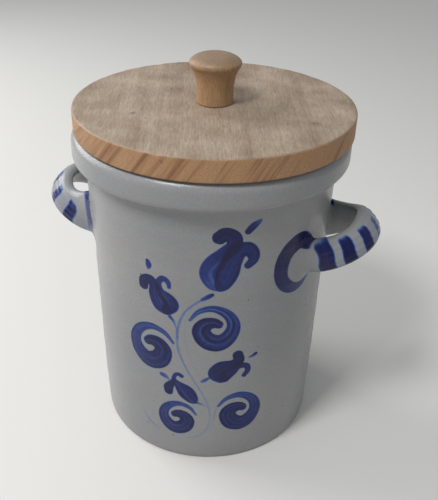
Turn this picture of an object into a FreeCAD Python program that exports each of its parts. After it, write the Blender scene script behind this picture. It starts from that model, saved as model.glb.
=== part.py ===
"""Stoneware pot with a wooden lid.

A tall thrown crock with a rounded collar at its mouth and two strap handles,
fired as one piece, and a turned wooden disc with a turned knob that lies on
the collar.

Millimetres. +Z is up, the origin is the centre of the foot on the table, the
handles lie near +X and -X, and the decorated front faces -Y.
"""
import FreeCAD
import Part

import math
import os

VECTOR = FreeCAD.Vector
UP = VECTOR(0, 0, 1)
ORIGIN = VECTOR(0, 0, 0)

# ---------------------------------------------------------------- crock body
rim_height = 325.5          # table to the land that the lid lies on
foot_radius = 112.5
lower_swell = 3.1           # wider than the foot, a third of the way to the collar
upper_swell = 4.7           # the same two thirds of the way up
neck_swell = 9.1            # the same just under the collar
foot_round = 3.0

# -------------------------------------------------------------------- collar
collar_height = 27.6
collar_overhang = 10.8      # how far the collar stands out from the neck
collar_upper_round = 10.0
collar_lower_round = 6.6
neck_fillet = 3.6           # hollow curve between neck and collar
mouth_round = 4.0

# --------------------------------------------------------------------- walls
wall = 8.5                  # thickness of the thrown side wall
floor_thickness = 11.0
floor_fillet = 14.0         # inside, where the wall turns into the floor

# ------------------------------------------------------------- strap handles
strap_width = 31.0          # at mid-loop
root_width = 37.0           # where the strap leaves the body
widening_power = 1.6        # how late it widens on its way to a root
strap_crown = 8.7           # bulge of the outer face from the strap's middle
strap_belly = 5.2           # the same for the flatter inner face
strap_lean = 40.9           # degrees that its upper edge leans in, at mid-loop
root_lean = -16.9           # at a root it leans out instead
root_drop = 72.4            # collar's underside down to a root's middle
handle_rise = 20.5          # the loop climbs by this much to its far end
late_climb = 2.6            # half-way out it has climbed by this much less than half
root_angle = 19.3           # degrees from the handle's middle round to a root
handle_reach = 38.8         # from the body's surface out to the strap's middle
loop_squareness = 2.41      # 2 would be a plain ellipse
crown_squareness = 2.3      # how square the outer face's edges are
belly_squareness = 3.2
groove_count = 4            # finger grooves along the strap's outer face
groove_depth = 0.6
groove_fade = 4             # power by which they die away towards its edges
root_flare = 2.3            # clay wiped round each root thickens it by this much
upper_flare = 4.1           # and carries its upper edge up the body by this much
flare_length = 24.8         # over this distance out from the body
right_handle_turn = 3.4     # both set by eye, so neither quite on the X axis
left_handle_turn = 186.2
loop_stations = 19          # sections along each loop
section_points = 40         # points round each section

# ----------------------------------------------------------------------- lid
lid_inset = 0.5             # lid's edge inside the collar's, all round
lid_thickness = 21.5
lid_edge_round = 1.6
lid_offset_x = 1.9          # the lid lies a little off the mouth's centre
lid_offset_y = 1.1

# ---------------------------------------------------------------------- knob
knob_base_radius = 17.1
knob_flare = 7.4            # wider than the base at the rim of its crown
knob_flare_power = 3.7      # how late the side turns outwards
knob_side_height = 36.3
knob_dome_height = 10.0
knob_base_round = 1.2
knob_rim_round = 3.2
knob_side_points = 9

# --------------------------------------------------------------- worked out
collar_bottom = rim_height - collar_height
neck_radius = foot_radius + neck_swell
collar_radius = neck_radius + collar_overhang
mouth_radius = neck_radius - wall
root_height = collar_bottom - root_drop
strap_burial = 2 * wall + strap_width / 2   # takes its ends well past the wall
lid_radius = collar_radius - lid_inset
lid_top = rim_height + lid_thickness
lid_centre = VECTOR(lid_offset_x, lid_offset_y, 0)
knob_rim_radius = knob_base_radius + knob_flare
LENGTH_TOLERANCE = 1e-4
TANGENT_STEP = math.radians(0.5)


def spline_through(points):
    """Return an edge for the smooth curve through the points."""
    curve = Part.BSplineCurve()
    curve.interpolate(points)
    return curve.toShape()


def chain(corners):
    """Return the straight edges that join the corners in order."""
    return [Part.makeLine(start, end) for start, end in zip(corners, corners[1:])]


def revolved(edges):
    """Return the solid made by turning a closed outline round the Z axis."""
    face = Part.Face(Part.Wire(Part.__sortEdges__(edges)))
    return face.revolve(ORIGIN, UP, 360)


def rounded(solid, radius, ring_radius, height):
    """Return the solid with its circular edge of that radius and height rounded."""
    ring = [
        edge
        for edge in solid.Edges
        if not edge.Degenerated
        and isinstance(edge.Curve, Part.Circle)
        and abs(edge.Curve.Radius - ring_radius) < LENGTH_TOLERANCE
        and abs(edge.Curve.Center.z - height) < LENGTH_TOLERANCE
    ]
    return solid.makeFillet(radius, ring).Solids[0]


def body_stations(inset, lowest, highest):
    """Return the wall's four stations, moved inwards by inset."""
    swells = (0, lower_swell, upper_swell, neck_swell)
    step = (highest - lowest) / (len(swells) - 1)
    return [
        VECTOR(foot_radius + swell - inset, 0, lowest + index * step)
        for index, swell in enumerate(swells)
    ]


def body_radius_at(height):
    """Return the outer radius of the body at a height, between its stations."""
    stations = body_stations(0, 0, collar_bottom)
    for low, high in zip(stations, stations[1:]):
        if height <= high.z:
            share = (height - low.z) / (high.z - low.z)
            return low.x + share * (high.x - low.x)
    return neck_radius


def make_outer_crock():
    """Return the crock's full outer form, still without its hollow."""
    side = body_stations(0, 0, collar_bottom)
    edges = [spline_through(side)]
    edges += chain([
        side[-1],
        VECTOR(collar_radius, 0, collar_bottom),
        VECTOR(collar_radius, 0, rim_height),
        VECTOR(0, 0, rim_height),
        ORIGIN,
        side[0],
    ])
    crock = revolved(edges)
    crock = rounded(crock, foot_round, foot_radius, 0)
    crock = rounded(crock, neck_fillet, neck_radius, collar_bottom)
    crock = rounded(crock, collar_lower_round, collar_radius, collar_bottom)
    return rounded(crock, collar_upper_round, collar_radius, rim_height)


def make_hollow():
    """Return the space inside the crock, from its floor up to the rim."""
    side = body_stations(wall, floor_thickness, collar_bottom)
    edges = [spline_through(side)]
    edges += chain([
        side[-1],
        VECTOR(mouth_radius, 0, rim_height),
        VECTOR(0, 0, rim_height),
        VECTOR(0, 0, floor_thickness),
        side[0],
    ])
    hollow = revolved(edges)
    return rounded(hollow, floor_fillet, side[0].x, floor_thickness)


def power(value, exponent):
    """Return the signed power of a sine or cosine, as a superellipse needs."""
    return math.copysign(abs(value) ** exponent, value)


def loop_share(turn):
    """Return how far out the loop is at a turn: 0 at a root and 1 at mid-loop."""
    return power(math.sin(turn), 2 / loop_squareness)


def loop_point(turn):
    """Return the strap's centre at a turn from 0 to pi along the loop."""
    surface = body_radius_at(root_height)
    root_out = surface * math.cos(math.radians(root_angle))
    root_along = surface * math.sin(math.radians(root_angle))
    share = loop_share(turn)
    out = root_out + (surface + handle_reach - root_out) * share
    along = root_along * power(math.cos(turn), 2 / loop_squareness)
    climb = handle_rise * share - late_climb * 4 * share * (1 - share)
    return VECTOR(out, along, root_height + climb)


def strap_outline(half_width, nearness):
    """Return (thickness, width) pairs round the strap's grooved section.

    nearness is 1 at the body and 0 where the flare of the root has died away.
    """
    outline = []
    for index in range(section_points):
        angle = 2 * math.pi * index / section_points
        outer = math.cos(angle) > 0
        squareness = crown_squareness if outer else belly_squareness
        thickness = (strap_crown if outer else strap_belly) + root_flare * nearness
        reach = half_width + (upper_flare * nearness if math.sin(angle) > 0 else 0)
        across = reach * power(math.sin(angle), 2 / squareness)
        through = thickness * power(math.cos(angle), 2 / squareness)
        if outer:
            wave = math.cos(math.pi * (groove_count + 1) * across / reach)
            fade = 1 - (across / reach) ** groove_fade
            through -= groove_depth * fade * (1 - wave) / 2
        outline.append((through, across))
    return outline


def strap_section(centre, outwards, share):
    """Return the closed wire of the strap's section.

    centre is its middle, outwards the level direction away from the loop's
    inside, and share how far out it lies, from 0 at a root to 1 at mid-loop.
    """
    lean = math.radians(root_lean + (strap_lean - root_lean) * share)
    width_way = UP * math.cos(lean) - outwards * math.sin(lean)
    face_way = outwards * math.cos(lean) + UP * math.sin(lean)
    clear = math.hypot(centre.x, centre.y) - body_radius_at(root_height)
    nearness = min(1.0, max(0.0, 1 - clear / flare_length)) ** 2
    widening = (root_width - strap_width) * (1 - share) ** widening_power
    half_width = (strap_width + widening) / 2
    points = [
        centre + face_way * through + width_way * across
        for through, across in strap_outline(half_width, nearness)
    ]
    curve = Part.BSplineCurve()
    curve.interpolate(Points=points, PeriodicFlag=True)
    return Part.Wire(curve.toShape())


def loop_section(turn):
    """Return the strap's section at a turn from 0 to pi along the loop."""
    tangent = loop_point(turn + TANGENT_STEP) - loop_point(turn - TANGENT_STEP)
    tangent.z = 0
    tangent.normalize()
    return strap_section(loop_point(turn), UP.cross(tangent), loop_share(turn))


def buried_section(turn):
    """Return the strap's end section, deep inside the body."""
    centre = loop_point(turn)
    outwards = VECTOR(0, math.copysign(1, centre.y), 0)
    centre.x -= strap_burial
    return strap_section(centre, outwards, 0)


def make_core():
    """Return a solid core that ends half-way into the side wall."""
    side = body_stations(wall / 2, 0, collar_bottom)
    edges = [spline_through(side)]
    edges += chain([side[-1], UP * collar_bottom, ORIGIN, side[0]])
    return revolved(edges)


def make_handle(side_turn):
    """Return one strap handle, turned about the pot's axis by side_turn degrees."""
    step = math.pi / (loop_stations - 1)
    wires = [buried_section(0)]
    wires += [loop_section(step * index) for index in range(loop_stations)]
    wires += [buried_section(math.pi)]
    handle = Part.makeLoft(wires, True, False)
    handle.rotate(ORIGIN, UP, side_turn)
    return handle.cut(make_core())


def make_pot():
    """Return the fired piece: hollow body, collar and both handles."""
    handles = [make_handle(right_handle_turn), make_handle(left_handle_turn)]
    pot = make_outer_crock().cut(make_hollow())
    pot = pot.fuse(handles).removeSplitter()
    return rounded(pot, mouth_round, mouth_radius, rim_height)


def make_lid():
    """Return the wooden disc where it lies on the rim."""
    lid = Part.makeCylinder(lid_radius, lid_thickness, lid_centre + UP * rim_height)
    lid = rounded(lid, lid_edge_round, lid_radius, rim_height)
    return rounded(lid, lid_edge_round, lid_radius, lid_top)


def make_knob_dome():
    """Return the edge of the knob's crown, a quarter of an ellipse."""
    ellipse = Part.Ellipse(ORIGIN, knob_rim_radius, knob_dome_height)
    dome = Part.ArcOfEllipse(ellipse, 0, math.pi / 2).toShape()
    dome.rotate(ORIGIN, VECTOR(1, 0, 0), 90)
    dome.translate(UP * knob_side_height)
    return dome


def make_knob():
    """Return the turned knob that stands on the lid's middle."""
    side = []
    for index in range(knob_side_points):
        share = index / (knob_side_points - 1)
        radius = knob_base_radius + knob_flare * share ** knob_flare_power
        side.append(VECTOR(radius, 0, knob_side_height * share))
    crown = UP * (knob_side_height + knob_dome_height)
    edges = [spline_through(side), make_knob_dome()]
    edges += chain([crown, ORIGIN, side[0]])
    knob = revolved(edges)
    knob = rounded(knob, knob_base_round, knob_base_radius, 0)
    knob = rounded(knob, knob_rim_round, knob_rim_radius, knob_side_height)
    knob.translate(lid_centre + UP * lid_top)
    return knob


def main():
    """Build every piece and write one STEP file for each."""
    os.makedirs("parts", exist_ok=True)
    pieces = {"pot": make_pot(), "lid": make_lid(), "knob": make_knob()}
    for name, shape in pieces.items():
        print(name, shape.ShapeType, "valid:", shape.isValid())
        shape.exportStep(os.path.join("parts", name + ".step"))


main()
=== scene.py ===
"""Stoneware pot with a wooden lid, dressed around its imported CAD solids.

The pot is a grey salt-glazed crock with cobalt brushwork and two strap
handles. Its lid is a weathered beech board with a turned beech knob.
Sizes are in millimetres where they are named, and MM turns them to metres.
"""

import logging
import math
from dataclasses import dataclass, field, replace
from enum import Enum
from functools import partial
from typing import Any

import bpy
import numpy as np
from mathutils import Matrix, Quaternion, Vector


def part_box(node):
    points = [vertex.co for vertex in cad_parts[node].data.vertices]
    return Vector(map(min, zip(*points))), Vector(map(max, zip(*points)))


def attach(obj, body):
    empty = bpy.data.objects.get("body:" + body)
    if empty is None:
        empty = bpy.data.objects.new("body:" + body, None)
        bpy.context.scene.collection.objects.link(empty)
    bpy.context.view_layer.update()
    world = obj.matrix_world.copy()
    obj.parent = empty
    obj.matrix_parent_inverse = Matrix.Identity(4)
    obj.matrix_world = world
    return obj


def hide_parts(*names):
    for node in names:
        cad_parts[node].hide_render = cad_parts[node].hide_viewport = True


MM = 0.001
LOG = logging.getLogger("stoneware_pot")

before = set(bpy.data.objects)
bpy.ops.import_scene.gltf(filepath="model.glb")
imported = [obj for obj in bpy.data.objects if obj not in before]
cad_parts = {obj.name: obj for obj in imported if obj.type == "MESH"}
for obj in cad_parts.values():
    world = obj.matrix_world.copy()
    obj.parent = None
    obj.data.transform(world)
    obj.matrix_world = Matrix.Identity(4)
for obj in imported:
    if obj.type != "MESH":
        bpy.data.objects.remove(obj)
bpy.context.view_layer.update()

Point = tuple[float, float]
Stamp = tuple[float, float, float]


# --------------------------------------------------------------- node helpers
def linear(code: str) -> tuple[float, float, float, float]:
    """Turn an sRGB hex colour into linear values.

    Args:
        code: six hex digits after a hash sign.

    Returns:
        Linear red, green, blue and an alpha of 1.
    """
    levels = [int(code[index:index + 2], 16) / 255 for index in (1, 3, 5)]
    shares = [
        level / 12.92 if level <= 0.04045 else ((level + 0.055) / 1.055) ** 2.4
        for level in levels
    ]
    return (*shares, 1.0)


def add_node(tree: bpy.types.NodeTree, kind: str, links: dict, **settings: Any) -> bpy.types.Node:
    """Add a node with its settings, values and links.

    Args:
        tree: the node tree that takes it.
        kind: the node's type.
        links: for each input, by name or index, a value, a socket to link, or
            a node whose first socket in use is linked.
        settings: properties of the node by name.

    Returns:
        The new node.
    """
    node = tree.nodes.new(kind)
    for name, value in settings.items():
        setattr(node, name, value)
    for name, value in links.items():
        if isinstance(value, bpy.types.Node):
            value = next(socket for socket in value.outputs if socket.enabled)
        if isinstance(value, bpy.types.NodeSocket):
            tree.links.new(value, node.inputs[name])
        else:
            node.inputs[name].default_value = value
    return node


def set_stops(ramp: bpy.types.Node, stops: tuple[tuple[float, str], ...]) -> bpy.types.Node:
    """Give a colour ramp its stops.

    Args:
        ramp: the colour ramp node.
        stops: place and hex colour of each stop, in order.

    Returns:
        The same node.
    """
    elements = ramp.color_ramp.elements
    while len(elements) < len(stops):
        elements.new(1.0)
    for element, (place, code) in zip(elements, stops):
        element.position = place
        element.color = linear(code)
    return ramp


def start_material(name: str) -> tuple[bpy.types.Material, bpy.types.NodeTree]:
    """Make an empty node material.

    Args:
        name: what it is called.

    Returns:
        The material and its node tree.
    """
    material = bpy.data.materials.new(name)
    material.use_nodes = True
    material.node_tree.nodes.clear()
    return material, material.node_tree


def finish_material(tree: bpy.types.NodeTree, shader: bpy.types.Node) -> None:
    """Link a shader to the material's output.

    Args:
        tree: the material's node tree.
        shader: the node that is shown.
    """
    add_node(tree, "ShaderNodeOutputMaterial", {"Surface": shader})


# --------------------------------------------------------------- mesh helpers
def deselect_all() -> None:
    """Leave nothing selected and no active object."""
    if bpy.context.mode != "OBJECT":
        bpy.ops.object.mode_set(mode="OBJECT")
    bpy.ops.object.select_all(action="DESELECT")
    bpy.context.view_layer.objects.active = None


def activate(piece: bpy.types.Object) -> None:
    """Make one object the only selected one, and active."""
    deselect_all()
    piece.select_set(True)
    bpy.context.view_layer.objects.active = piece


def edit_all(piece: bpy.types.Object) -> None:
    """Enter edit mode on an object with everything selected."""
    activate(piece)
    bpy.ops.object.mode_set(mode="EDIT")
    bpy.ops.mesh.select_mode(type="VERT")
    bpy.ops.mesh.select_all(action="SELECT")


def leave_edit() -> None:
    """Go back to object mode."""
    bpy.ops.object.mode_set(mode="OBJECT")


def read_places(piece: bpy.types.Object) -> np.ndarray:
    """Return a mesh's vertex places as an array of rows."""
    places = np.empty(len(piece.data.vertices) * 3)
    piece.data.vertices.foreach_get("co", places)
    return places.reshape(-1, 3)


def write_places(piece: bpy.types.Object, places: np.ndarray) -> None:
    """Move a mesh's vertices to the given rows."""
    piece.data.vertices.foreach_set("co", places.ravel())
    piece.data.update()


def edit_some(piece: bpy.types.Object, domain: str, chosen: np.ndarray) -> None:
    """Enter edit mode on an object with only some of it selected.

    Args:
        piece: the object.
        domain: "vertices" or "polygons".
        chosen: true for each one to select.
    """
    for name in ("vertices", "edges", "polygons"):
        parts = getattr(piece.data, name)
        parts.foreach_set("select", chosen if name == domain else np.zeros(len(parts), dtype=bool))
    activate(piece)
    bpy.ops.object.mode_set(mode="EDIT")


def store_attribute(piece: bpy.types.Object, name: str, values: np.ndarray) -> None:
    """Keep one number a vertex under a name that materials can read."""
    layer = piece.data.attributes.new(name, "FLOAT", "POINT")
    layer.data.foreach_set("value", values.astype(np.float32))


def turned_piece(
    name: str, outline: list[Point], sweeps: list[tuple[int, float]]
) -> bpy.types.Object:
    """Turn an outline round the Z axis, as on a wheel or a lathe.

    Args:
        name: name of the new object.
        outline: radius and height of each station, in metres, from the axis to the axis.
        sweeps: steps and degrees of each stretch of the full turn.

    Returns:
        The closed shell, with its seam and poles merged.
    """
    deselect_all()
    bpy.ops.mesh.primitive_plane_add(size=MM, location=(0, 0, 0))
    piece = bpy.context.active_object
    piece.name = name
    piece.data.name = name
    edit_all(piece)
    bpy.ops.mesh.merge(type="CENTER")
    bpy.ops.transform.translate(value=(outline[0][0], 0, outline[0][1]))
    for (radius, height), (next_radius, next_height) in zip(outline, outline[1:]):
        step = (next_radius - radius, 0, next_height - height)
        bpy.ops.mesh.extrude_region_move(TRANSFORM_OT_translate={"value": step})
    bpy.ops.mesh.select_all(action="SELECT")
    for steps, degrees in sweeps:
        bpy.ops.mesh.spin(
            steps=steps, angle=math.radians(degrees), center=(0, 0, 0), axis=(0, 0, 1)
        )
    bpy.ops.mesh.select_all(action="SELECT")
    bpy.ops.mesh.remove_doubles(threshold=0.01 * MM)
    bpy.ops.mesh.normals_make_consistent(inside=False)
    leave_edit()
    return piece


def arc(centre: Point, radius: float, start: float, end: float, steps: int) -> list[Point]:
    """Return points along an arc.

    Args:
        centre: radius and height of its middle.
        radius: its own radius.
        start: first angle, in degrees from outwards towards up.
        end: last angle.
        steps: how many chords it has.

    Returns:
        The points, both ends included.
    """
    angles = np.radians(np.linspace(start, end, steps + 1))
    return [
        (centre[0] + radius * math.cos(angle), centre[1] + radius * math.sin(angle))
        for angle in angles
    ]


def smooth_path(stamps: np.ndarray, spacing: float) -> np.ndarray:
    """Run a smooth curve through rows of numbers.

    Args:
        stamps: rows whose first two numbers are a place.
        spacing: distance between the points returned.

    Returns:
        Rows along a Catmull-Rom curve through the stamps.
    """
    ends = np.vstack([2 * stamps[0] - stamps[1], stamps, 2 * stamps[-1] - stamps[-2]])
    rows = []
    for index in range(1, len(ends) - 2):
        before, start, end, after = ends[index - 1:index + 3]
        count = max(2, int(np.linalg.norm((end - start)[:2]) / spacing))
        share = np.linspace(0, 1, count, endpoint=False)[:, None]
        rows.append(
            0.5 * (
                2 * start
                + (end - before) * share
                + (2 * before - 5 * start + 4 * end - after) * share ** 2
                + (3 * start - before - 3 * end + after) * share ** 3
            )
        )
    rows.append(stamps[-1:])
    return np.vstack(rows)


def turned_places(places: np.ndarray, degrees: float) -> np.ndarray:
    """Return rows turned about the Z axis by some degrees."""
    cosine, sine = math.cos(math.radians(degrees)), math.sin(math.radians(degrees))
    return np.stack([
        places[:, 0] * cosine - places[:, 1] * sine,
        places[:, 0] * sine + places[:, 1] * cosine,
        places[:, 2],
    ], -1)


def finish_piece(
    piece: bpy.types.Object, material: bpy.types.Material, crease: float, node: str
) -> None:
    """Shade a finished piece, tie it to the body, and put it in a CAD node's place.

    Args:
        piece: the object.
        material: its only material.
        crease: degrees between faces above which their edge stays sharp.
        node: the CAD node that it stands for.
    """
    piece.data.materials.clear()
    piece.data.materials.append(material)
    activate(piece)
    bpy.ops.object.shade_smooth_by_angle(angle=math.radians(crease))
    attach(piece, "root")
    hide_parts(node)
    LOG.info("%s: %d faces", piece.name, len(piece.data.polygons))


# ------------------------------------------------------------------ ornament
class Facing(Enum):
    """Which way round a painted form is drawn."""

    PLAIN = 1
    MIRRORED = -1


@dataclass(frozen=True)
class BrushStroke:
    """One stroke of cobalt slip on the unrolled wall.

    Each stamp is the place across and up, and half the brush's width there.
    load is how much pigment it starts and ends with, and rim how much more
    of it gathers along the stroke's two edges.
    """

    stamps: tuple[Stamp, ...]
    load: Point = (0.85, 0.7)
    rim: float = 0.35
    streaks: float = 0.30

    def placed(self, middle: Point, scale: float, tilt: float, facing: Facing) -> "BrushStroke":
        """Return the stroke drawn elsewhere.

        Args:
            middle: where its own origin goes.
            scale: size of one of its own units.
            tilt: degrees that it is turned anticlockwise.
            facing: plain or mirrored left to right.

        Returns:
            The moved stroke.
        """
        cosine, sine = math.cos(math.radians(tilt)), math.sin(math.radians(tilt))
        moved = []
        for across, up, half_width in self.stamps:
            across *= facing.value
            moved.append((
                middle[0] + scale * (across * cosine - up * sine),
                middle[1] + scale * (across * sine + up * cosine),
                scale * half_width,
            ))
        return replace(self, stamps=tuple(moved))


WATERY = (0.05, 0.1)    # rim and streaks of a thin, pale line


@dataclass(frozen=True)
class CobaltOrnament:
    """The painted flowers, volutes and stem, in millimetres on the wall.

    Across is measured round the wall from a line at middle_azimuth, and up
    from the foot. The volutes are one spiral, brushed from its heart
    outwards, at four places.
    """

    middle_azimuth: float = -68.0
    wall_radius: float = 117.5
    edge_softness: float = 0.9
    path_step: float = 0.8          # between the places that a brush's path is worked out at
    batch: int = 4000               # places worked out at a time
    first_seed: int = 40
    stems: tuple[BrushStroke, ...] = (
        BrushStroke(((4, 210, 1.5), (0.5, 208, 2.1), (-5, 204.5, 1.7)), (0.85, 0.45)),
        BrushStroke(
            ((-4, 205, 1.5), (-14, 197, 1.3), (-22, 187, 1.4), (-27, 173, 1.6), (-29, 158, 1.5),
             (-27, 141, 1.5), (-20, 122, 1.3), (-12, 106, 1.2), (-3, 89, 1.1), (3, 70, 1.1),
             (3.5, 52, 1.1), (-2, 38, 1.1), (-12, 30, 1.2), (-23, 28.5, 1.0)),
            (0.24, 0.12), *WATERY),
        BrushStroke(
            ((-14, 194, 0.8), (-19.5, 182, 0.9), (-21.5, 165, 0.9), (-20, 149, 0.9),
             (-14, 131, 0.9), (-8, 115, 0.8), (-5, 104, 0.7)), (0.13, 0.09), *WATERY),
        BrushStroke(
            ((-34, 152, 0.9), (-31.5, 141, 0.9), (-26, 127, 0.8), (-22, 118, 0.6)),
            (0.11, 0.07), *WATERY),
        BrushStroke(((-31, 174, 0.9), (-28.5, 166, 1.2), (-28, 157, 1.2)), (0.22, 0.2), *WATERY),
        BrushStroke(
            ((10.5, 72, 0.9), (8.5, 62, 1.2), (7.5, 52, 1.2), (4, 41, 1.0)), (0.17, 0.09), *WATERY),
        BrushStroke(
            ((-71, 52, 0.5), (-66, 42.5, 1.0), (-58.5, 35.5, 1.1), (-51, 31, 0.6)),
            (0.2, 0.2), *WATERY),
    )
    spiral: BrushStroke = BrushStroke(
        ((0.10, 0.24, 0.17), (-0.10, 0.32, 0.23), (-0.40, 0.24, 0.30), (-0.57, -0.08, 0.35),
         (-0.36, -0.50, 0.40), (0.08, -0.66, 0.39), (0.47, -0.43, 0.34), (0.68, 0.04, 0.27),
         (0.58, 0.50, 0.22), (0.24, 0.86, 0.18), (-0.22, 1.00, 0.14), (-0.70, 0.82, 0.10),
         (-1.02, 0.40, 0.05)), (0.95, 0.46), 0.46, 0.46)
    volutes: tuple[tuple[Point, float, float, Facing], ...] = (
        ((8, 170.5), 24, 0, Facing.PLAIN),
        ((35.5, 63.5), 23.5, -3, Facing.PLAIN),
        ((-57.5, 139), 25, 3, Facing.MIRRORED),
        ((-31, 54), 20.5, 0, Facing.MIRRORED),
    )
    big_tulip: tuple[BrushStroke, ...] = (
        BrushStroke(
            ((10, 218, 4.5), (4, 223, 7.0), (0, 233, 8.0), (4, 243, 8.5), (13, 253, 7.0),
             (21, 261, 6.6), (21, 269, 6.6), (14, 273.5, 6.2), (9, 270, 6.2)),
            (0.42, 1.0), 0.38, 0.34),
        BrushStroke(
            ((11, 218, 4.5), (13.5, 223, 8.0), (17, 233, 10.0), (20, 244, 9.0), (25, 254, 7.8),
             (32.5, 257, 7.0), (38.5, 252, 5.8), (39.5, 245, 4.8), (35, 239.5, 3.6)),
            (0.72, 0.78), 0.42, 0.26),
        BrushStroke(
            ((26, 264, 2.6), (17.5, 256, 2.6), (13, 247, 2.2), (10, 238, 1.4)), (1.05, 0.85), 0.0),
        BrushStroke(((33, 274.5, 2.8), (37.5, 279.5, 3.4), (43, 284, 1.8)), (0.95, 0.4)),
    )
    small_tulip: tuple[BrushStroke, ...] = (
        BrushStroke(
            ((-61.5, 209, 4.6), (-60.5, 215, 5.0), (-54, 217.5, 4.6), (-50, 211, 5.0),
             (-49, 202, 6.8), (-45, 193, 7.6), (-40, 188, 5.6)), (1.0, 0.62), 0.38, 0.28),
        BrushStroke(
            ((-35.5, 213.5, 1.6), (-36.5, 219, 2.4), (-41.5, 222, 2.8), (-46, 216, 3.0),
             (-44, 207, 4.0), (-37, 200, 6.8), (-34, 194, 7.2), (-38, 188, 5.6)),
            (0.62, 0.82), 0.40, 0.24),
        BrushStroke(((-56, 237, 1.7), (-55, 233, 2.8), (-55.5, 229.5, 1.4)), (0.8, 0.5)),
        BrushStroke(((-35.5, 181, 1.6), (-32.5, 177.5, 1.4), (-30.5, 173, 1.0)), (0.6, 0.2)),
    )
    right_tulip: tuple[BrushStroke, ...] = (
        BrushStroke(
            ((30, 138.5, 4.9), (31, 131, 5.4), (24, 127, 5.4), (14, 124, 7.6), (9.5, 117, 8.0),
             (14, 111, 5.6)), (1.05, 0.72), 0.30, 0.22),
        BrushStroke(
            ((37.5, 111.5, 2.4), (41, 117, 2.8), (39, 123.5, 3.0), (31, 124, 3.4),
             (24, 118.5, 5.4), (17, 112, 6.0)), (0.72, 0.9), 0.36),
        BrushStroke(((41, 133, 0.9), (45, 134, 1.4), (48.5, 136, 1.7)), (0.3, 0.85)),
        BrushStroke(((-5, 106.5, 1.0), (-2, 108.5, 1.9), (2, 111.5, 1.2)), (0.35, 0.5)),
    )
    left_tulip: tuple[BrushStroke, ...] = (
        BrushStroke(
            ((-12.5, 81, 4.0), (-15.5, 85, 7.0), (-20.5, 91.5, 8.4), (-27, 98.5, 5.0),
             (-32.5, 105, 2.3), (-31.5, 111, 1.9), (-28, 113, 2.0), (-24.5, 111, 1.9)),
            (0.78, 0.72), 0.40, 0.40),
        BrushStroke(
            ((-38.5, 89, 4.4), (-38.5, 94, 4.8), (-35.5, 99.5, 3.4), (-33, 104.5, 1.8)),
            (1.0, 0.8), 0.15),
        BrushStroke(((-46, 108.5, 1.9), (-42.5, 107.5, 2.4), (-38, 104.5, 1.2)), (0.5, 0.3)),
        BrushStroke(((-11, 79.5, 1.4), (-5, 77, 1.3), (1, 74, 0.8)), (0.4, 0.12)),
    )
    sweep: BrushStroke = BrushStroke(
        ((15, 240, 3.0), (8, 246.5, 7.0), (-2, 250.5, 8.4), (-12, 246, 9.0), (-18.5, 238, 8.6),
         (-21.5, 226, 7.8), (-19.5, 214, 7.0), (-13, 205.0, 6.4), (-4, 199.5, 5.2),
         (6, 199, 3.6), (14, 203, 2.2), (20, 208, 0.9)), (1.12, 0.62), 0.20, 0.34)

    def root_sweep(self, azimuth: float, gap: float, lift: float, facing: Facing) -> BrushStroke:
        """Return the broad stroke that goes round a handle's root.

        Args:
            azimuth: where the root is.
            gap: how far the stroke is kept from it.
            lift: how much higher than usual it is.
            facing: plain where the handle lies to the right of it.

        Returns:
            The stroke, in its place on the wall.
        """
        middle = (self.across(azimuth) - gap * facing.value, lift)
        return self.sweep.placed(middle, 1.0, 0, facing)

    def across(self, azimuth: float | np.ndarray) -> float | np.ndarray:
        """Return the place across the unrolled wall for an azimuth in degrees."""
        turn = (azimuth - self.middle_azimuth + 180) % 360 - 180
        return np.radians(turn) * self.wall_radius

    def front(self) -> list[BrushStroke]:
        """Return every stroke of the front's flowering stem."""
        volutes = [self.spiral.placed(*where) for where in self.volutes]
        return [
            *self.stems, *volutes, *self.big_tulip, *self.small_tulip,
            *self.right_tulip, *self.left_tulip,
        ]

    def pigment(
        self, stroke: BrushStroke, across: np.ndarray, up: np.ndarray, seed: int
    ) -> np.ndarray:
        """Return how much pigment one stroke leaves at each place.

        Args:
            stroke: the stroke.
            across: places across the wall.
            up: places up the wall.
            seed: picks the streaks that its bristles leave.

        Returns:
            0 where there is none, to a little over 1 where it pools.
        """
        path = smooth_path(np.array(stroke.stamps), self.path_step)
        amount = np.zeros(len(across))
        reach = path[:, 2].max() + 4 * self.edge_softness
        low, high = path[:, :2].min(0) - reach, path[:, :2].max(0) + reach
        near = np.flatnonzero(
            (across > low[0]) & (across < high[0]) & (up > low[1]) & (up < high[1])
        )
        if not len(near):
            return amount
        heading = np.gradient(path[:, :2], axis=0)
        heading /= np.linalg.norm(heading, axis=1, keepdims=True)
        share = np.linspace(0, 1, len(path))
        bristles = np.random.default_rng(seed)
        waves = bristles.uniform((4, 0, 0.3), (15, 6.28, 1.4), (5, 3))
        best = np.full(len(near), -np.inf)
        value = np.zeros(len(near))
        for start in range(0, len(near), self.batch):
            some = slice(start, start + self.batch)
            part = near[some]
            away = np.stack([across[part], up[part]], -1)[:, None] - path[None, :, :2]
            inside = path[None, :, 2] - np.linalg.norm(away, axis=2)
            nearest = inside.argmax(1)
            rows = np.arange(len(part))
            best[some] = inside[rows, nearest]
            offset = away[rows, nearest]
            direction = heading[nearest]
            side = direction[:, 0] * offset[:, 1] - direction[:, 1] * offset[:, 0]
            place = np.clip(side / path[nearest, 2], -1, 1)
            along = share[nearest]
            load = stroke.load[0] + (stroke.load[1] - stroke.load[0]) * along
            streak = sum(
                np.sin(count * place + phase + drift * 6 * along) for count, phase, drift in waves
            ) / len(waves)
            rim = stroke.rim * (np.abs(place) ** 3 - 0.35)
            value[some] = load * (1 + rim + stroke.streaks * streak)
        edge = np.clip(best / (2 * self.edge_softness) + 0.5, 0, 1)
        amount[near] = value * edge * edge * (3 - 2 * edge)
        return amount


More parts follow.
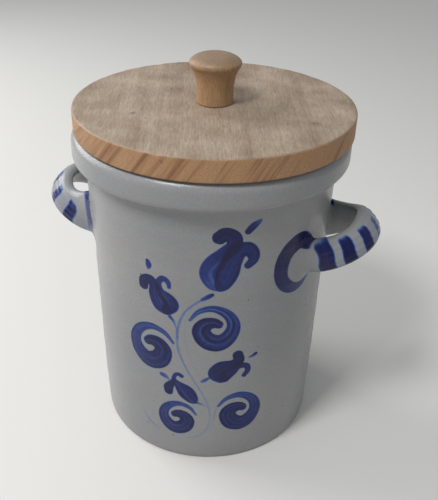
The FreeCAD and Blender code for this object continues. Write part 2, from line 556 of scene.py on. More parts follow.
# ------------------------------------------------------------------ finishes
@dataclass(frozen=True)
class SaltGlazedStoneware:
    """Grey stoneware glazed by salt vapour, painted with cobalt under the glaze.

    The clay fires to a cool grey, the glaze is a thin satin glass with the
    fine pitting of an orange skin, and iron in the clay leaves dark specks.
    """

    clay: str = "#929191"
    clay_shade: str = "#868789"
    cloud_scale: float = 9.0
    grain_scale: float = 620.0
    grain_share: float = 0.22
    speck: str = "#4a4038"
    speck_scale: float = 105.0
    speck_radius: float = 0.085     # of the largest, against their spacing
    washes: tuple[tuple[float, str], ...] = (
        (0.0, "#868d9b"), (0.16, "#65769a"), (0.34, "#38508a"), (0.54, "#152b6e"),
        (0.74, "#081552"), (1.0, "#03073a"),
    )
    opaque_from: float = 0.24       # pigment that hides the clay
    breakup_scale: float = 260.0
    roughness: float = 0.27
    cobalt_gloss: float = 0.08      # how much smoother the glaze is over thick cobalt
    ior: float = 1.42
    peel_scale: float = 520.0       # pits about 2 mm across
    peel_depth: float = 0.4
    peel_height: float = 0.6

    def body(self, node: partial, place: bpy.types.NodeSocket) -> bpy.types.Node:
        """Add the bare glazed clay, faintly clouded, grained and specked.

        Args:
            node: adds one node to the material's tree.
            place: object coordinates.

        Returns:
            The node that gives its colour.
        """
        cloud = node(
            "ShaderNodeTexNoise", {"Vector": place, "Scale": self.cloud_scale, "Detail": 5.0}
        )
        clay = set_stops(
            node("ShaderNodeValToRGB", {"Fac": cloud}), ((0.3, self.clay_shade), (0.7, self.clay))
        )
        grain = node(
            "ShaderNodeTexNoise", {"Vector": place, "Scale": self.grain_scale, "Detail": 2.0}
        )
        mottled = node(
            "ShaderNodeMix", {"Factor": self.grain_share, "A": clay, "B": grain.outputs["Color"]},
            data_type="RGBA", blend_type="OVERLAY",
        )
        specks = node("ShaderNodeTexVoronoi", {"Vector": place, "Scale": self.speck_scale})
        size = node("ShaderNodeSeparateColor", {"Color": specks.outputs["Color"]})
        radius = node("ShaderNodeMapRange", {
            "Value": size, "From Min": 0.55, "From Max": 1.0,
            "To Min": 0.0, "To Max": self.speck_radius,
        })
        speck = node("ShaderNodeMath", {0: specks, 1: radius}, operation="LESS_THAN")
        return node(
            "ShaderNodeMix", {"Factor": speck, "A": mottled, "B": linear(self.speck)},
            data_type="RGBA",
        )

    def build(self) -> bpy.types.Material:
        """Return the glazed and painted material."""
        material, tree = start_material("salt_glazed_stoneware")
        node = partial(add_node, tree)
        place = node("ShaderNodeTexCoord", {}).outputs["Object"]
        cobalt = node("ShaderNodeAttribute", {}, attribute_name="cobalt").outputs["Fac"]
        breakup = node(
            "ShaderNodeTexNoise", {"Vector": place, "Scale": self.breakup_scale, "Detail": 3.0}
        )
        broken = node("ShaderNodeMath", {0: breakup, 1: 0.44, 2: 0.80}, operation="MULTIPLY_ADD")
        amount = node(
            "ShaderNodeMath", {0: cobalt, 1: broken}, operation="MULTIPLY", use_clamp=True
        )
        blue = set_stops(node("ShaderNodeValToRGB", {"Fac": amount}), self.washes)
        cover = node(
            "ShaderNodeMapRange", {"Value": amount, "From Min": 0.0, "From Max": self.opaque_from},
            interpolation_type="SMOOTHSTEP",
        )
        colour = node(
            "ShaderNodeMix", {"Factor": cover, "A": self.body(node, place), "B": blue},
            data_type="RGBA",
        )
        peel = node("ShaderNodeTexNoise", {
            "Vector": place, "Scale": self.peel_scale, "Detail": 2.0, "Roughness": 0.55,
        })
        height = node("ShaderNodeMath", {0: cobalt, 1: 0.25, 2: peel}, operation="MULTIPLY_ADD")
        bump = node("ShaderNodeBump", {
            "Height": height, "Strength": self.peel_depth, "Distance": self.peel_height * MM,
        })
        rough = node("ShaderNodeMapRange", {
            "Value": amount, "To Min": self.roughness, "To Max": self.roughness - self.cobalt_gloss,
        })
        finish_material(tree, node("ShaderNodeBsdfPrincipled", {
            "Base Color": colour, "Roughness": rough, "IOR": self.ior, "Normal": bump,
        }))
        return material


@dataclass(frozen=True)
class Beech:
    """Unvarnished beech: pale brown, with short dark flecks along its grain.

    Its broad faces have greyed with age and handling, while the wood below
    stays warm on the edge. Growth rings lie a few millimetres apart in bands
    of about a finger's width, and lean through the board.
    """

    name: str
    fresh: tuple[str, str]
    weathered: tuple[str, str]
    grain_azimuth: float
    upright: bool = False
    lean: float = 32.0              # degrees that the rings lean through the board
    band: float = 13.0              # millimetres from one broad band to the next
    ring: float = 3.0               # and between growth rings
    ring_depth: float = 0.55
    fibre: float = 1.3
    fibre_depth: float = 0.25
    growth_span: float = 0.26       # either side of the middle of the growth's values
    soil_scale: float = 26.0
    fleck_scale: float = 520.0
    fleck_colour: str = "#4a3424"
    roughness: float = 0.6

    def grain(
        self, node: partial, turned: bpy.types.Node, stretch: tuple[float, float, float],
        spacing: float, detail: float,
    ) -> bpy.types.Node:
        """Add one noise drawn out along the grain.

        Args:
            node: adds one node to the material's tree.
            turned: coordinates with X along the grain and Y across the rings.
            stretch: how much each axis counts.
            spacing: millimetres between its streaks.
            detail: the noise's detail.

        Returns:
            The noise.
        """
        drawn = node("ShaderNodeMapping", {"Vector": turned, "Scale": stretch})
        return node("ShaderNodeTexNoise", {
            "Vector": drawn, "Scale": 1 / (spacing * MM), "Detail": detail, "Roughness": 0.55,
        })

    def build(self) -> bpy.types.Material:
        """Return the wood material."""
        material, tree = start_material(self.name)
        node = partial(add_node, tree)
        place = node("ShaderNodeTexCoord", {}).outputs["Object"]
        flat = (0, 0, -math.radians(self.grain_azimuth))
        turn = (0, math.radians(90), 0) if self.upright else flat
        along = node("ShaderNodeMapping", {"Vector": place, "Rotation": turn})
        turned = node(
            "ShaderNodeMapping", {"Vector": along, "Rotation": (math.radians(self.lean), 0, 0)}
        )
        bands = self.grain(node, turned, (0.015, 1.0, 0.04), self.band, 1.0)
        rings = self.grain(node, turned, (0.02, 1.0, 0.06), self.ring, 2.0)
        fibre = self.grain(node, turned, (0.10, 1.0, 1.0), self.fibre, 3.0)
        soil = node(
            "ShaderNodeTexNoise", {"Vector": place, "Scale": self.soil_scale, "Detail": 5.0}
        )
        growth = bands
        for part, depth in ((rings, self.ring_depth), (fibre, self.fibre_depth)):
            terms = {0: part, 1: depth, 2: growth}
            growth = node("ShaderNodeMath", terms, operation="MULTIPLY_ADD")
        middle = 0.5 * (1 + self.ring_depth + self.fibre_depth)
        contrast = node("ShaderNodeMapRange", {
            "Value": growth, "From Min": middle - self.growth_span,
            "From Max": middle + self.growth_span,
        })
        fresh = set_stops(
            node("ShaderNodeValToRGB", {"Fac": contrast}),
            ((0.0, self.fresh[0]), (0.55, self.fresh[0]), (1.0, self.fresh[1])),
        )
        faded = node("ShaderNodeMath", {0: growth, 1: 0.45}, operation="MULTIPLY")
        worn = node("ShaderNodeMath", {0: soil, 1: 0.9, 2: faded}, operation="MULTIPLY_ADD")
        patches = node("ShaderNodeMapRange", {"Value": worn, "From Min": 0.62, "From Max": 1.08})
        aged = set_stops(
            node("ShaderNodeValToRGB", {"Fac": patches}),
            ((0.0, self.weathered[0]), (1.0, self.weathered[1])),
        )
        wear = node("ShaderNodeAttribute", {}, attribute_name="weathered").outputs["Fac"]
        tone = node("ShaderNodeMix", {"Factor": wear, "A": fresh, "B": aged}, data_type="RGBA")
        fibrous = node(
            "ShaderNodeMix", {"Factor": 0.42, "A": tone, "B": fibre},
            data_type="RGBA", blend_type="OVERLAY",
        )
        drawn = node("ShaderNodeMapping", {"Vector": turned, "Scale": (0.22, 1.0, 1.0)})
        fleck = node(
            "ShaderNodeTexVoronoi", {"Vector": drawn, "Scale": self.fleck_scale, "Randomness": 1.0}
        )
        flecks = node("ShaderNodeMapRange", {
            "Value": fleck, "From Min": 0.08, "From Max": 0.30, "To Min": 0.34, "To Max": 0.0,
        })
        # pin knots and the crack, with painted shade under the lid and at the knob's foot
        mark_and_shade = node("ShaderNodeAttribute", {}, attribute_name="marks_and_shade").outputs["Fac"]
        dark = node("ShaderNodeMath", {0: flecks, 1: mark_and_shade}, operation="MAXIMUM")
        colour = node(
            "ShaderNodeMix", {"Factor": dark, "A": fibrous, "B": linear(self.fleck_colour)},
            data_type="RGBA",
        )
        bump = node("ShaderNodeBump", {"Height": fibre, "Strength": 0.25, "Distance": 0.3 * MM})
        finish_material(tree, node("ShaderNodeBsdfPrincipled", {
            "Base Color": colour, "Roughness": self.roughness, "IOR": 1.5, "Normal": bump,
        }))
        return material


@dataclass
class StrapFrame:
    """Places measured against the straps, one number a place.

    distance is from the nearer strap's middle line, along from 0 to 1 round
    its loop, across up its width, through out of its outer face, and handle
    is its number.
    """

    distance: np.ndarray
    along: np.ndarray
    across: np.ndarray
    through: np.ndarray
    handle: np.ndarray


@dataclass(frozen=True)
class StrapHandle:
    """One handle: where it is set, how its roots are wiped, and its paint.

    side_turn is its azimuth, upper_flare how far its roots run up the wall
    and flare_length over what distance out from it. Each band is its place
    along the loop, half its length there, its load, and how far it reaches
    towards the strap's upper edge. Each sweep is the root's side, the gap and
    lift of its stroke and which way round it is drawn.
    """

    side_turn: float
    upper_flare: float
    flare_length: float
    bands: tuple[tuple[float, float, float, float], ...]
    sweeps: tuple[tuple[int, float, float, Facing], ...]


@dataclass
class StonewarePot:
    """The thrown crock with its collar and two pulled strap handles."""

    rim_height: float = 325.5
    wall_stations: tuple[Point, ...] = ((112.5, 0), (115.6, 99.3), (117.2, 198.6), (121.6, 297.9))
    foot_round: float = 3.0
    collar_radius: float = 132.4
    collar_upper_round: float = 10.0
    collar_lower_round: float = 6.6
    neck_fillet: float = 3.6
    wall: float = 8.5
    floor_thickness: float = 11.0
    floor_fillet: float = 14.0
    mouth_round: float = 4.0
    throwing_ring: float = 0.10         # depth of the fingers' rings in the wall
    ring_heights: Point = (6.0, 289.9)
    front_step: float = 2.4             # size of a face on the decorated side
    front_sweep: Point = (-132.0, 8.0)  # azimuths that the finer faces cover
    back_coarseness: float = 2.4        # how much larger faces are elsewhere
    strap_width: float = 31.0
    root_width: float = 37.0
    widening_power: float = 1.6
    strap_crown: float = 8.7
    strap_belly: float = 5.2
    strap_lean: float = 40.9
    root_lean: float = -16.9
    root_height: float = 225.5
    handle_rise: float = 20.5
    late_climb: float = 2.6
    root_angle: float = 19.3
    handle_reach: float = 38.8
    loop_squareness: float = 2.41
    crown_squareness: float = 2.3
    belly_squareness: float = 3.2
    groove_count: int = 4
    groove_depth: float = 0.6
    root_flare: float = 2.3
    handles: tuple[StrapHandle, ...] = (
        StrapHandle(
            3.4, 4.1, 24.8,
            bands=((0.912, 0.040, 1.0, 1.0), (0.780, 0.036, 1.05, 0.62), (0.636, 0.034, 0.95, 0.50),
                   (0.505, 0.016, 0.55, 0.40), (0.370, 0.034, 0.9, 0.6), (0.225, 0.038, 0.95, 0.6)),
            sweeps=((-1, 16.0, 0.0, Facing.PLAIN), (1, 2.0, 4.0, Facing.MIRRORED)),
        ),
        StrapHandle(
            186.2, 17.0, 30.0,
            bands=((0.118, 0.034, 0.95, 0.55), (0.285, 0.024, 0.9, 0.42), (0.430, 0.030, 0.9, 0.5),
                   (0.600, 0.034, 0.95, 0.6), (0.765, 0.036, 0.95, 0.6), (0.905, 0.036, 1.0, 0.8)),
            sweeps=((-1, 2.0, 4.0, Facing.PLAIN), (1, -6.3, 9.0, Facing.MIRRORED)),
        ),
    )
    ring_points: int = 64
    loop_rings: int = 130
    bar_easing: float = 0.35            # gathers the rings towards the roots
    wipe_reach: float = 13.0            # how far the wiped clay blends each root
    wipe_heights: Point = (195.0, 275.0)
    wipes: tuple[tuple[float, int], ...] = ((1.0, 8), (0.7, 12), (0.4, 16))   # reach, rounds
    paint_margin: float = 2.2           # of finer faces round each stroke
    batch: int = 4000                   # places worked out at a time
    crease: float = 50.0
    ornament: CobaltOrnament = field(default_factory=CobaltOrnament)
    finish: SaltGlazedStoneware = field(default_factory=SaltGlazedStoneware)

    @property
    def wall_top(self) -> float:
        """Height of the wall's top, where the collar begins."""
        return self.wall_stations[-1][1]

    @property
    def root_surface(self) -> float:
        """Radius of the wall at the height of the handles' roots."""
        radii, heights = zip(*self.wall_stations)
        return float(np.interp(self.root_height, heights, radii))

    def wall_radius(self, height: np.ndarray, inset: float = 0.0, floor: float = 0.0) -> np.ndarray:
        """Return the wall's smooth radius at each height, moved inwards by inset."""
        radii = [radius - inset for radius, _ in self.wall_stations]
        top = self.wall_top
        curve = np.polyfit(np.linspace(floor, top, len(radii)) / top, radii, len(radii) - 1)
        return np.polyval(curve, np.clip(height, floor, top) / top)

    def outline(self) -> list[Point]:
        """Return the whole section, from the foot's middle round to the floor's middle."""
        top, rim, base = self.wall_top, self.rim_height, self.floor_thickness
        foot, neck = self.wall_stations[0][0], self.wall_stations[-1][0]
        lower, upper, lip = self.collar_lower_round, self.collar_upper_round, self.mouth_round
        mouth = neck - self.wall
        rows = np.arange(5.0, top - self.neck_fillet - 1, self.front_step)
        corner = base + self.floor_fillet
        inner = np.linspace(top, corner, 24)
        inside = self.wall_radius(inner, self.wall, base)
        points = [(0.0, 0.0), *((radius, 0.0) for radius in np.linspace(20, foot - 9, 5))]
        points += arc((foot - self.foot_round, self.foot_round), self.foot_round, -90, 0, 6)
        points += zip(self.wall_radius(rows), rows)
        fillet = self.neck_fillet
        points += arc((neck + fillet, top - fillet), fillet, 180, 90, 5)
        points += arc((self.collar_radius - lower, top + lower), lower, -90, 0, 9)
        points += arc((self.collar_radius - upper, rim - upper), upper, 0, 90, 14)
        points += [(mouth + lip + 2.0, rim), *arc((mouth + lip, rim - lip), lip, 90, 180, 6)]
        points += zip(inside, inner)
        points += arc((inside[-1] - self.floor_fillet, corner), self.floor_fillet, 0, -90, 8)[1:]
        points += [(radius, base) for radius in (*np.linspace(75, 15, 4), 0.0)]
        return [(radius * MM, height * MM) for radius, height in points]

    def build_crock(self) -> bpy.types.Object:
        """Throw the crock: turn its outline, with finer faces on the decorated side."""
        start, end = self.front_sweep
        front, back = end - start, 360 - end + start
        girth = self.wall_stations[1][0] / self.front_step
        fine = int(math.radians(front) * girth)
        coarse = int(math.radians(back) * girth / self.back_coarseness)
        return turned_piece("stoneware_pot", self.outline(), [(fine, front), (coarse, back)])

    def set_azimuth(self, crock: bpy.types.Object) -> None:
        """Turn the crock so that its finer faces begin at the front sweep's first azimuth."""
        places = read_places(crock)
        ring = np.abs(places[:, 2] - self.rim_height * MM) < 0.5 * MM
        azimuth = np.degrees(np.arctan2(places[ring, 1], places[ring, 0])) % 360
        azimuth = np.unique(np.round(azimuth, 2))
        gaps = np.diff(np.append(azimuth, azimuth[0] + 360))
        fine = azimuth[gaps < gaps.mean()]
        middle = np.degrees(np.angle(np.exp(1j * np.radians(fine)).mean()))
        turn = math.radians(sum(self.front_sweep) / 2 - middle)
        write_places(crock, turned_places(places, math.degrees(turn)))

    def loop_share(self, turn: np.ndarray) -> np.ndarray:
        """Return how far out the loop is at a turn: 0 at a root and 1 at mid-loop."""
        return np.abs(np.sin(turn)) ** (2 / self.loop_squareness)

    def loop_point(self, turn: np.ndarray) -> np.ndarray:
        """Return the strap's middle at turns from 0 to pi along the loop, in millimetres."""
        root_out = self.root_surface * math.cos(math.radians(self.root_angle))
        root_along = self.root_surface * math.sin(math.radians(self.root_angle))
        share = self.loop_share(turn)
        swing = np.sign(np.cos(turn)) * np.abs(np.cos(turn)) ** (2 / self.loop_squareness)
        climb = self.handle_rise * share - self.late_climb * 4 * share * (1 - share)
        return np.stack([
            root_out + (self.root_surface + self.handle_reach - root_out) * share,
            root_along * swing,
            self.root_height + climb,
        ], -1)

    def strap_outline(
        self, angle: np.ndarray, half_width: np.ndarray, nearness: np.ndarray, upper_flare: float
    ) -> tuple[np.ndarray, np.ndarray]:
        """Shape the strap's grooved section.

        Args:
            angle: places round it.
            half_width: half the strap's width there.
            nearness: 1 at the wall and 0 where the root's flare has died away.
            upper_flare: how far the upper edge runs up the wall.

        Returns:
            Thickness and width from the strap's middle.
        """
        sine, cosine = np.sin(angle), np.cos(angle)
        outer = cosine > 0
        power = np.where(outer, 2 / self.crown_squareness, 2 / self.belly_squareness)
        depth = np.where(outer, self.strap_crown, self.strap_belly) + self.root_flare * nearness
        reach = half_width + np.where(sine > 0, upper_flare * nearness, 0)
        across = reach * np.sign(sine) * np.abs(sine) ** power
        through = depth * np.sign(cosine) * np.abs(cosine) ** power
        wave = np.cos(math.pi * (self.groove_count + 1) * across / reach)
        fade = 1 - (across / reach) ** 4
        return through - np.where(outer, self.groove_depth * fade * (1 - wave) / 2, 0), across

    def strap_ways(self, turn: np.ndarray) -> tuple[np.ndarray, np.ndarray, np.ndarray]:
        """Return the strap's middle, its width's direction and its outer face's at each turn."""
        share = self.loop_share(turn)
        tangent = self.loop_point(turn + 0.004) - self.loop_point(turn - 0.004)
        tangent[:, 2] = 0
        tangent /= np.linalg.norm(tangent, axis=1, keepdims=True)
        outwards = np.stack([-tangent[:, 1], tangent[:, 0], 0 * share], -1)
        lean = np.radians(self.root_lean + (self.strap_lean - self.root_lean) * share)[:, None]
        up = np.array([[0.0, 0.0, 1.0]])
        width_way = up * np.cos(lean) - outwards * np.sin(lean)
        face_way = outwards * np.cos(lean) + up * np.sin(lean)
        return self.loop_point(turn), width_way, face_way

    def strap_place(
        self, station: np.ndarray, angle: np.ndarray, handle: StrapHandle
    ) -> np.ndarray:
        """Bend a straight bar's points onto the strap.

        Args:
            station: 0 at one root to 1 at the other.
            angle: place round the section.
            handle: the handle that it belongs to.

        Returns:
            Places in millimetres, before the handle is turned to its side.
        """
        turn = np.clip(math.pi * station, 1e-4, math.pi - 1e-4)
        middle, width_way, face_way = self.strap_ways(turn)
        clear = np.hypot(middle[:, 0], middle[:, 1]) - self.root_surface
        nearness = np.clip(1 - clear / handle.flare_length, 0, 1) ** 2
        inwards = (1 - self.loop_share(turn)) ** self.widening_power
        widening = (self.root_width - self.strap_width) * inwards
        through, across = self.strap_outline(
            angle, (self.strap_width + widening) / 2, nearness, handle.upper_flare
        )
        return middle + face_way * through[:, None] + width_way * across[:, None]

    def build_handle(self, handle: StrapHandle) -> bpy.types.Object:
        """Pull one strap: extrude a ring into a bar, bend it, and root both ends in the wall.

        Args:
            handle: the handle to make.

        Returns:
            The closed strap.
        """
        deselect_all()
        bpy.ops.mesh.primitive_circle_add(
            vertices=self.ring_points, radius=1, fill_type="NGON", location=(0, 0, 0)
        )
        strap = bpy.context.active_object
        edit_all(strap)
        for _ in range(self.loop_rings):
            bpy.ops.mesh.extrude_region_move(TRANSFORM_OT_translate={"value": (0, 0, 1)})
        leave_edit()
        bar = read_places(strap)
        angle = np.arctan2(bar[:, 1], bar[:, 0])
        station = np.clip((bar[:, 2] - 1) / (self.loop_rings - 2), 0, 1)
        eased = station - np.sin(2 * math.pi * station) / (2 * math.pi) * self.bar_easing
        bent = self.strap_place(eased, angle, handle)
        ends = (bar[:, 2] < 0.5) | (bar[:, 2] > self.loop_rings - 0.5)
        bent[ends] -= (2 * self.wall, 0, 0)
        radius = np.hypot(bent[:, 0], bent[:, 1])
        buried = self.wall_radius(bent[:, 2]) - 0.55 * self.wall
        bent[:, :2] *= np.where(ends, buried / radius, 1.0)[:, None]
        write_places(strap, turned_places(bent, handle.side_turn) * MM)
        edit_all(strap)
        bpy.ops.mesh.normals_make_consistent(inside=False)
        leave_edit()
        return strap

    def join_handles(self, crock: bpy.types.Object) -> None:
        """Fuse both straps to the crock and wipe the clay smooth round their roots."""
        for side in self.handles:
            strap = self.build_handle(side)
            activate(crock)
            union = crock.modifiers.new("handle", "BOOLEAN")
            union.operation = "UNION"
            union.solver = "EXACT"
            union.object = strap
            bpy.ops.object.modifier_apply(modifier=union.name)
            bpy.data.objects.remove(strap, do_unlink=True)
        self.wipe_roots(crock)

    def strap_frame(self, places: np.ndarray) -> StrapFrame:
        """Measure places against the nearer strap's middle line.

        Args:
            places: rows in millimetres.

        Returns:
            Where each place is along, across and through that strap.
        """
        turn = math.pi * np.linspace(0.002, 0.998, 400)
        middle, width_way, face_way = self.strap_ways(turn)
        count = len(places)
        found = StrapFrame(
            np.full(count, np.inf), np.zeros(count), np.zeros(count), np.zeros(count),
            np.zeros(count, dtype=int),
        )
        for index, handle in enumerate(self.handles):
            local = turned_places(places, -handle.side_turn)
            near = np.flatnonzero(np.abs(local - middle.mean(0)).max(1) < 90)
            for start in range(0, len(near), self.batch):
                part = near[start:start + self.batch]
                away = local[part][:, None] - middle[None]
                gap = np.linalg.norm(away, axis=2)
                nearest = gap.argmin(1)
                rows = np.arange(len(part))
                offset = away[rows, nearest]
                ahead = np.gradient(middle, axis=0)[nearest]
                slide = (offset * ahead).sum(1) / (ahead ** 2).sum(1)
                found.distance[part] = gap[rows, nearest]
                found.along[part] = (nearest + np.clip(slide, -0.5, 0.5)) / (len(turn) - 1)
                found.across[part] = (offset * width_way[nearest]).sum(1)
                found.through[part] = (offset * face_way[nearest]).sum(1)
                found.handle[part] = index
        return found

    def wipe_roots(self, crock: bpy.types.Object) -> None:
        """Smooth the clay where the straps meet the wall, as a wet finger does."""
        places = read_places(crock) / MM
        wall = self.wall_radius(places[:, 2])
        off_wall = np.hypot(places[:, 0], places[:, 1]) - wall
        low, high = self.wipe_heights
        outside = (off_wall > -1.0) & (places[:, 2] > low) & (places[:, 2] < high)
        strap = self.strap_frame(places)
        near_root = (strap.along < 0.2) | (strap.along > 0.8)
        for reach, rounds in self.wipes:
            zone = outside & near_root & (off_wall < self.wipe_reach * reach) & (
                strap.distance < self.root_width / 2 + 22 * reach
            )
            edit_some(crock, "vertices", zone)
            bpy.ops.mesh.vertices_smooth(factor=0.5, repeat=rounds)
            leave_edit()

    def refine_painted(self, crock: bpy.types.Object) -> None:
        """Split the faces under the brushwork finely enough to hold its edges."""
        mesh = crock.data
        middles = np.empty(len(mesh.polygons) * 3)
        mesh.polygons.foreach_get("center", middles)
        middles = middles.reshape(-1, 3) / MM
        cuts = self.paint(middles, self.paint_margin) > 0.01
        off_wall = np.abs(np.hypot(middles[:, 0], middles[:, 1]) - self.wall_radius(middles[:, 2]))
        cuts &= off_wall < 2.5
        edit_some(crock, "polygons", cuts)
        bpy.ops.mesh.select_mode(type="FACE")
        bpy.ops.mesh.subdivide(number_cuts=2)
        leave_edit()
        LOG.info("split %d painted faces", int(cuts.sum()))

    def paint(self, places: np.ndarray, margin: float = 0.0) -> np.ndarray:
        """Return the pigment at each place on the pot.

        Args:
            places: rows in millimetres.
            margin: widens every stroke by this much.

        Returns:
            The amount of cobalt, 0 to a little over 1.
        """
        azimuth = np.degrees(np.arctan2(places[:, 1], places[:, 0]))
        radius = np.hypot(places[:, 0], places[:, 1])
        across = self.ornament.across(azimuth)
        on_wall = (radius - self.wall_radius(places[:, 2]) > -2.0) & (places[:, 2] < 296)
        strokes = self.ornament.front() + [
            self.ornament.root_sweep(handle.side_turn + sign * self.root_angle, gap, lift, facing)
            for handle in self.handles for sign, gap, lift, facing in handle.sweeps
        ]
        amount = np.zeros(len(places))
        for index, stroke in enumerate(strokes):
            if margin:
                stroke = BrushStroke(
                    tuple((a, u, w + margin) for a, u, w in stroke.stamps), stroke.load
                )
            seed = self.ornament.first_seed + index
            laid = self.ornament.pigment(stroke, across, places[:, 2], seed)
            amount = np.maximum(amount, laid) + 0.25 * np.minimum(amount, laid)
        strap = self.strap_frame(places)
        on_strap = np.clip((radius - self.wall_radius(places[:, 2]) - 3.0) / 3.0, 0, 1)
        on_strap *= strap.distance < 1.4 * self.root_width
        amount *= on_wall * (1 - on_strap)
        return amount + on_strap * self.strap_bands(places, strap)

    def strap_bands(self, places: np.ndarray, strap: StrapFrame) -> np.ndarray:
        """Return the pigment of the broad bands brushed across each strap's outer face.

        Args:
            places: rows in millimetres.
            strap: the same places measured against the straps.

        Returns:
            The amount of cobalt at each place.
        """
        rise = strap.across / (self.strap_width / 2)
        wobble = 0.006 * np.sin(strap.across * 0.25 + 0.6)
        bristle = 0.5 + 0.5 * np.sin(strap.along * 310 + 1.7 * np.sin(strap.across * 0.5))
        amount = np.zeros(len(places))
        for index, handle in enumerate(self.handles):
            mine = strap.handle == index
            for middle, half_length, load, reach in handle.bands:
                depth = half_length - np.abs(strap.along + wobble - middle)
                edge = np.clip(depth / 0.022 + 0.5, 0, 1)
                top = np.clip((reach - rise) / 0.30 + 0.5, 0, 1)
                bottom = np.clip((strap.through + 2.5) / 2.5, 0, 1)
                pooled = 0.74 + 0.26 * np.clip(1.2 - depth / half_length, 0, 1)
                pooled = pooled + 0.12 * (bristle - 0.5) - 0.16 * np.clip(rise, -1, 1)
                laid = edge * edge * (3 - 2 * edge) * top * bottom * load * pooled
                amount = np.maximum(amount, laid * mine)
        wash = 0.07 * np.clip((strap.through + 1.0) / 3.0, 0, 1) * np.clip(1.1 - rise, 0, 1)
        return np.maximum(amount, wash)

    def throw_rings(self, crock: bpy.types.Object) -> None:
        """Press the fingers' faint rings into the wall, and curve its split faces."""
        places = read_places(crock) / MM
        radius = np.hypot(places[:, 0], places[:, 1])
        height = places[:, 2]
        wall = self.wall_radius(height)
        low, high = self.ring_heights
        on_wall = (np.abs(radius - wall) < 0.12) & (height > low) & (height < high)
        azimuth = np.arctan2(places[:, 1], places[:, 0])
        rise = height + 1.6 * azimuth
        rings = sum(
            size * np.sin(rise * pace + phase)
            for size, pace, phase in ((0.5, 0.62, 0.0), (0.8, 0.31, 1.1), (1.0, 0.153, 0.4))
        )
        fade = np.clip((height - low) / 10, 0, 1) * np.clip((high - height) / 12, 0, 1)
        target = wall + self.throwing_ring * rings * fade
        scale = np.where(on_wall, target / np.maximum(radius, 1e-6), 1.0)
        places[:, :2] *= scale[:, None]
        write_places(crock, places * MM)

    def dress(self, crock: bpy.types.Object) -> None:
        """Lay the brushwork on the pot and glaze it."""
        store_attribute(crock, "cobalt", self.paint(read_places(crock) / MM))
        finish_piece(crock, self.finish.build(), self.crease, "pot")

    def make(self) -> bpy.types.Object:
        """Build, paint and glaze the pot.

        Returns:
            The finished piece.
        """
        crock = self.build_crock()
        self.set_azimuth(crock)
        self.join_handles(crock)
        self.refine_painted(crock)
        self.throw_rings(crock)
        self.dress(crock)
        return crock


